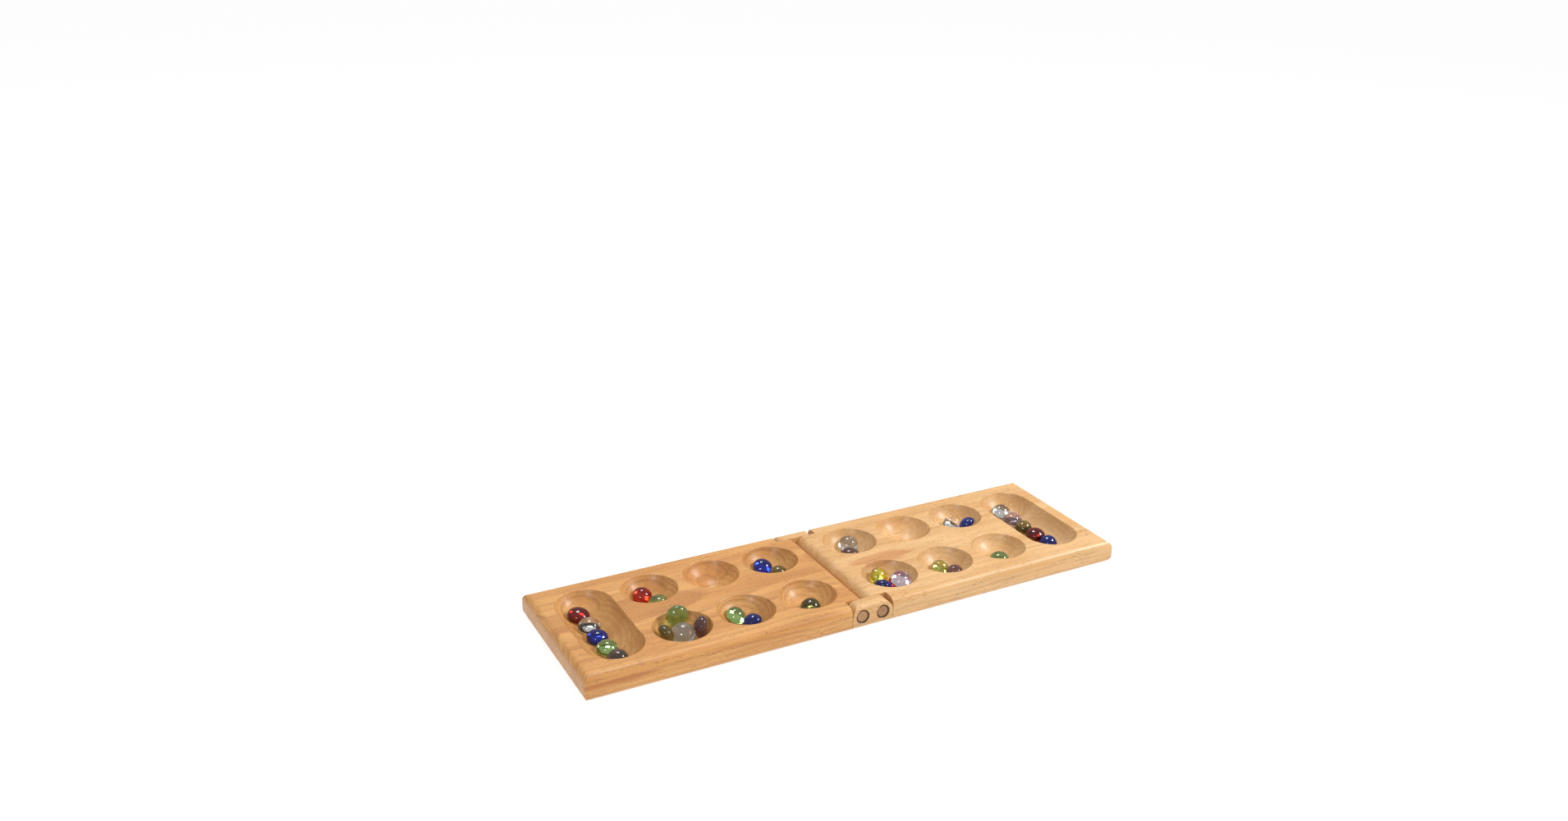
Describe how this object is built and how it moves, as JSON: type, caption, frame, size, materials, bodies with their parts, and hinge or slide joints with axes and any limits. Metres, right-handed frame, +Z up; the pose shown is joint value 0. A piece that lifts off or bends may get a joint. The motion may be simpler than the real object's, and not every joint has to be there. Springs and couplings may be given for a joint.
{
  "type": "folding mancala board",
  "caption": "Hinged wooden mancala board that folds in half: bowl-shaped pits, a long store at each end, wooden links turning on dowels, and loose glass stones.",
  "frame": {"origin": "underside, middle of the joint between the two halves, with the board lying open", "axes": "+X along the board towards the right half, +Y towards the rear edge, +Z up"},
  "size_m": [0.452, 0.133, 0.027],
  "materials": {
    "left_wood": "satin clear lacquer",
    "right_wood": "satin clear lacquer",
    "link_wood": "satin clear lacquer",
    "dowel_wood": "end grain, satin clear lacquer",
    "glass_blue": "glossy fire-polished glass",
    "glass_clear": "glossy fire-polished glass",
    "glass_garnet": "glossy fire-polished glass",
    "glass_green": "glossy fire-polished glass",
    "glass_ice": "glossy fire-polished glass",
    "glass_lime": "glossy fire-polished glass",
    "glass_olive": "glossy fire-polished glass",
    "glass_pink": "glossy fire-polished glass",
    "glass_purple": "glossy fire-polished glass",
    "glass_red": "glossy fire-polished glass",
    "glass_smoke": "glossy fire-polished glass",
    "glass_yellow": "glossy fire-polished glass"
  },
  "bodies": {
    "left_half": {"left_front_pin": "dowel_wood", "left_front_stave": "left_wood", "left_middle_stave": "left_wood", "left_rear_pin": "dowel_wood", "left_rear_stave": "left_wood"},
    "front_link": {"front_link": "link_wood"},
    "rear_link": {"rear_link": "link_wood"},
    "right_half": {"right_front_pin": "dowel_wood", "right_front_stave": "right_wood", "right_middle_stave": "right_wood", "right_rear_pin": "dowel_wood", "right_rear_stave": "right_wood"},
    "left_front_1_stones": {"left_front_1_stone_1": "glass_olive"},
    "left_front_2_stones": {"left_front_2_stone_1": "glass_green", "left_front_2_stone_2": "glass_blue"},
    "left_front_3_stones": {"left_front_3_stone_1": "glass_ice", "left_front_3_stone_2": "glass_green", "left_front_3_stone_3": "glass_olive", "left_front_3_stone_4": "glass_purple"},
    "left_rear_1_stones": {"left_rear_1_stone_1": "glass_blue", "left_rear_1_stone_2": "glass_olive"},
    "left_rear_3_stones": {"left_rear_3_stone_1": "glass_red", "left_rear_3_stone_2": "glass_green"},
    "left_store_stones": {"left_store_stone_1": "glass_garnet", "left_store_stone_2": "glass_clear", "left_store_stone_3": "glass_blue", "left_store_stone_4": "glass_green", "left_store_stone_5": "glass_smoke"},
    "right_front_1_stones": {"right_front_1_stone_1": "glass_red", "right_front_1_stone_2": "glass_yellow", "right_front_1_stone_3": "glass_blue", "right_front_1_stone_4": "glass_pink"},
    "right_front_2_stones": {"right_front_2_stone_1": "glass_lime", "right_front_2_stone_2": "glass_purple"},
    "right_front_3_stones": {"right_front_3_stone_1": "glass_green"},
    "right_rear_1_stones": {"right_rear_1_stone_1": "glass_clear", "right_rear_1_stone_2": "glass_purple"},
    "right_rear_3_stones": {"right_rear_3_stone_1": "glass_clear", "right_rear_3_stone_2": "glass_blue"},
    "right_store_stones": {"right_store_stone_1": "glass_clear", "right_store_stone_2": "glass_pink", "right_store_stone_3": "glass_olive", "right_store_stone_4": "glass_garnet", "right_store_stone_5": "glass_blue"}
  },
  "joints": [
    {"name": "front_link_fold", "type": "hinge", "parent": "left_half", "child": "front_link", "pos_m": [-0.0087, -0.0607, 0.01], "axis": [0, 1, 0], "range_deg": [-90, 0]},
    {"name": "rear_link_fold", "type": "hinge", "parent": "left_half", "child": "rear_link", "pos_m": [-0.0087, 0.0607, 0.01], "axis": [0, 1, 0], "range_deg": [-90, 0]},
    {"name": "right_half_fold", "type": "hinge", "parent": "front_link", "child": "right_half", "pos_m": [0.0087, -0.0607, 0.01], "axis": [0, 1, 0], "range_deg": [-90, 0]},
    {"name": "left_front_1_stones_lift", "type": "slide", "parent": "left_half", "child": "left_front_1_stones", "axis": [0, 0, 1], "range_m": [0, 0.03]},
    {"name": "left_front_2_stones_lift", "type": "slide", "parent": "left_half", "child": "left_front_2_stones", "axis": [0, 0, 1], "range_m": [0, 0.03]},
    {"name": "left_front_3_stones_lift", "type": "slide", "parent": "left_half", "child": "left_front_3_stones", "axis": [0, 0, 1], "range_m": [0, 0.03]},
    {"name": "left_rear_1_stones_lift", "type": "slide", "parent": "left_half", "child": "left_rear_1_stones", "axis": [0, 0, 1], "range_m": [0, 0.03]},
    {"name": "left_rear_3_stones_lift", "type": "slide", "parent": "left_half", "child": "left_rear_3_stones", "axis": [0, 0, 1], "range_m": [0, 0.03]},
    {"name": "left_store_stones_lift", "type": "slide", "parent": "left_half", "child": "left_store_stones", "axis": [0, 0, 1], "range_m": [0, 0.03]},
    {"name": "right_front_1_stones_lift", "type": "slide", "parent": "right_half", "child": "right_front_1_stones", "axis": [0, 0, 1], "range_m": [0, 0.03]},
    {"name": "right_front_2_stones_lift", "type": "slide", "parent": "right_half", "child": "right_front_2_stones", "axis": [0, 0, 1], "range_m": [0, 0.03]},
    {"name": "right_front_3_stones_lift", "type": "slide", "parent": "right_half", "child": "right_front_3_stones", "axis": [0, 0, 1], "range_m": [0, 0.03]},
    {"name": "right_rear_1_stones_lift", "type": "slide", "parent": "right_half", "child": "right_rear_1_stones", "axis": [0, 0, 1], "range_m": [0, 0.03]},
    {"name": "right_rear_3_stones_lift", "type": "slide", "parent": "right_half", "child": "right_rear_3_stones", "axis": [0, 0, 1], "range_m": [0, 0.03]},
    {"name": "right_store_stones_lift", "type": "slide", "parent": "right_half", "child": "right_store_stones", "axis": [0, 0, 1], "range_m": [0, 0.03]}
  ],
  "couplings": [
    {"joint": "rear_link_fold", "follows": "front_link_fold", "ratio": 1}
  ]
}
